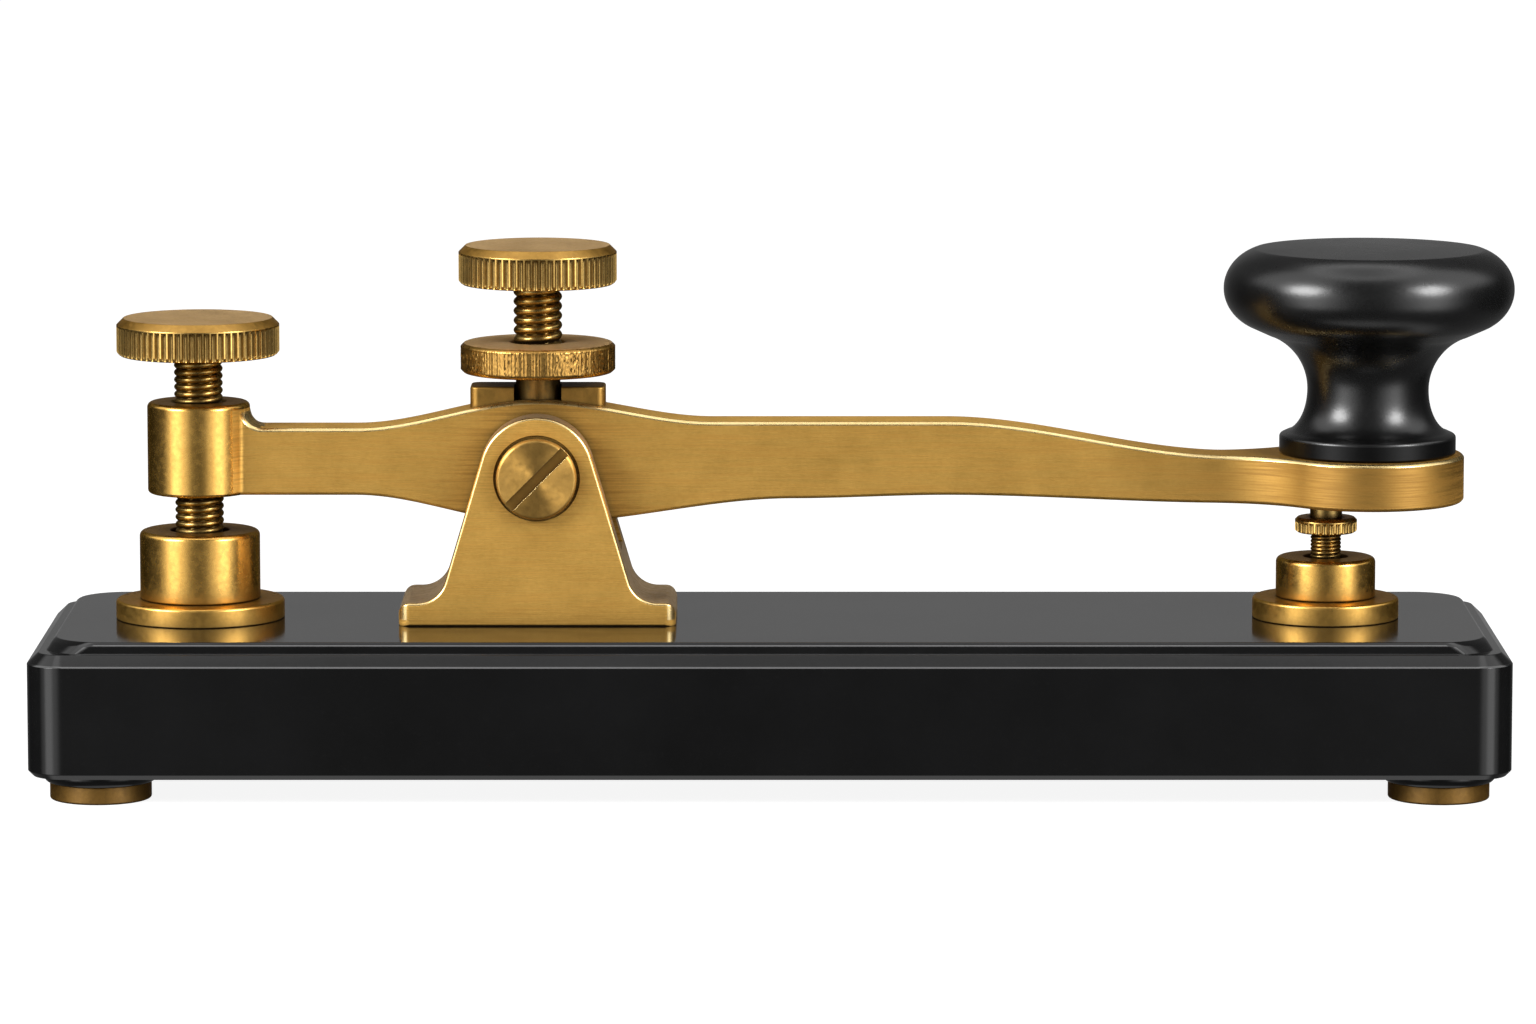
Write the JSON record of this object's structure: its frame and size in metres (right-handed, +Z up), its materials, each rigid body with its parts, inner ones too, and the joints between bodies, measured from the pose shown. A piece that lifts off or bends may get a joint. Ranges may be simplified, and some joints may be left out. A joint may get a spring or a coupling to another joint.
{
  "type": "telegraph key",
  "caption": "Straight telegraph key: a sprung brass lever with a black knob rocks in a bracket on a moulded base and closes contacts at its front and rear ends.",
  "frame": {"origin": "under the middle of the base, on the surface that the feet stand on", "axes": "+X runs along the lever towards the knob, +Y to the back of the key, +Z up"},
  "size_m": [0.1922, 0.052, 0.0699],
  "materials": {
    "black_base": "polished black phenolic moulding",
    "black_knob": "satin black moulding",
    "brushed_brass": "brushed lengthwise, slightly aged",
    "turned_brass": "turned, slightly aged",
    "sheet_brass": "plain dull sheet",
    "contact_silver": "satin silver contact metal",
    "steel": "plain steel"
  },
  "bodies": {
    "frame": {"base": "black_base", "foot_collars": "black_base", "foot_discs": "turned_brass", "foot_screws": "steel", "rear_anvil_flange": "turned_brass", "rear_anvil_post": "turned_brass", "rear_contact_button": "contact_silver", "front_anvil_flange": "turned_brass", "front_anvil_post": "turned_brass", "front_contact_button": "contact_silver", "anvil_washers": "steel", "anvil_nuts": "turned_brass", "terminal_tags": "sheet_brass", "bracket_washer": "steel", "bracket": "brushed_brass", "bracket_screws": "steel", "pivot_screw": "turned_brass", "pivot_nut": "turned_brass", "pivot_washers": "sheet_brass"},
    "lever": {"lever": "brushed_brass", "knob": "black_knob", "knob_insert": "turned_brass", "knob_stud": "steel", "saddle_plate": "brushed_brass", "tension_bush": "turned_brass", "tension_spring": "steel"},
    "plunger": {"spring_plunger": "steel"},
    "tension_cap": {"spring_cap": "steel"},
    "tension_thumbscrew": {"tension_screw": "turned_brass"},
    "rear_tip": {"rear_contact_tip": "contact_silver"},
    "rear_thumbscrew": {"rear_contact_screw": "turned_brass"},
    "front_tip": {"front_contact_tip": "contact_silver"},
    "front_thumbscrew": {"front_contact_stud": "turned_brass", "front_thumb_nut": "turned_brass"}
  },
  "joints": [
    {"name": "lever_pivot", "type": "hinge", "parent": "frame", "child": "lever", "pos_m": [-0.0302, 0, 0.04035], "axis": [0, 1, 0], "range_deg": [0, 0.67], "stiffness_Nm_per_rad": 1.5, "springref_deg": -5.73},
    {"name": "plunger_slide", "type": "slide", "parent": "lever", "child": "plunger", "axis": [0, 0, 1], "range_m": [0, 0.00003]},
    {"name": "tension_lift", "type": "slide", "parent": "lever", "child": "tension_cap", "axis": [0, 0, 1], "range_m": [-0.001, 0.00125], "deforming": ["tension_spring"]},
    {"name": "tension_turn", "type": "hinge", "parent": "tension_cap", "child": "tension_thumbscrew", "pos_m": [-0.0302, 0, 0.06], "axis": [0, 0, 1], "range_deg": [-288, 360]},
    {"name": "rear_lift", "type": "slide", "parent": "lever", "child": "rear_tip", "axis": [0, 0, 1], "range_m": [0, 0.0019]},
    {"name": "rear_turn", "type": "hinge", "parent": "rear_tip", "child": "rear_thumbscrew", "pos_m": [-0.0745, 0, 0.055], "axis": [0, 0, 1], "range_deg": [0, 720]},
    {"name": "front_lift", "type": "slide", "parent": "lever", "child": "front_tip", "axis": [0, 0, 1], "range_m": [0, 0.001]},
    {"name": "front_turn", "type": "hinge", "parent": "front_tip", "child": "front_thumbscrew", "pos_m": [0.0727, 0, 0.033], "axis": [0, 0, 1], "range_deg": [0, 720]}
  ],
  "couplings": [
    {"joint": "plunger_slide", "follows": "lever_pivot", "m_per_rad": 0.00215},
    {"joint": "tension_turn", "follows": "tension_lift", "rad_per_m": 5026.5},
    {"joint": "rear_turn", "follows": "rear_lift", "rad_per_m": 6613.8},
    {"joint": "front_turn", "follows": "front_lift", "rad_per_m": 12566}
  ]
}
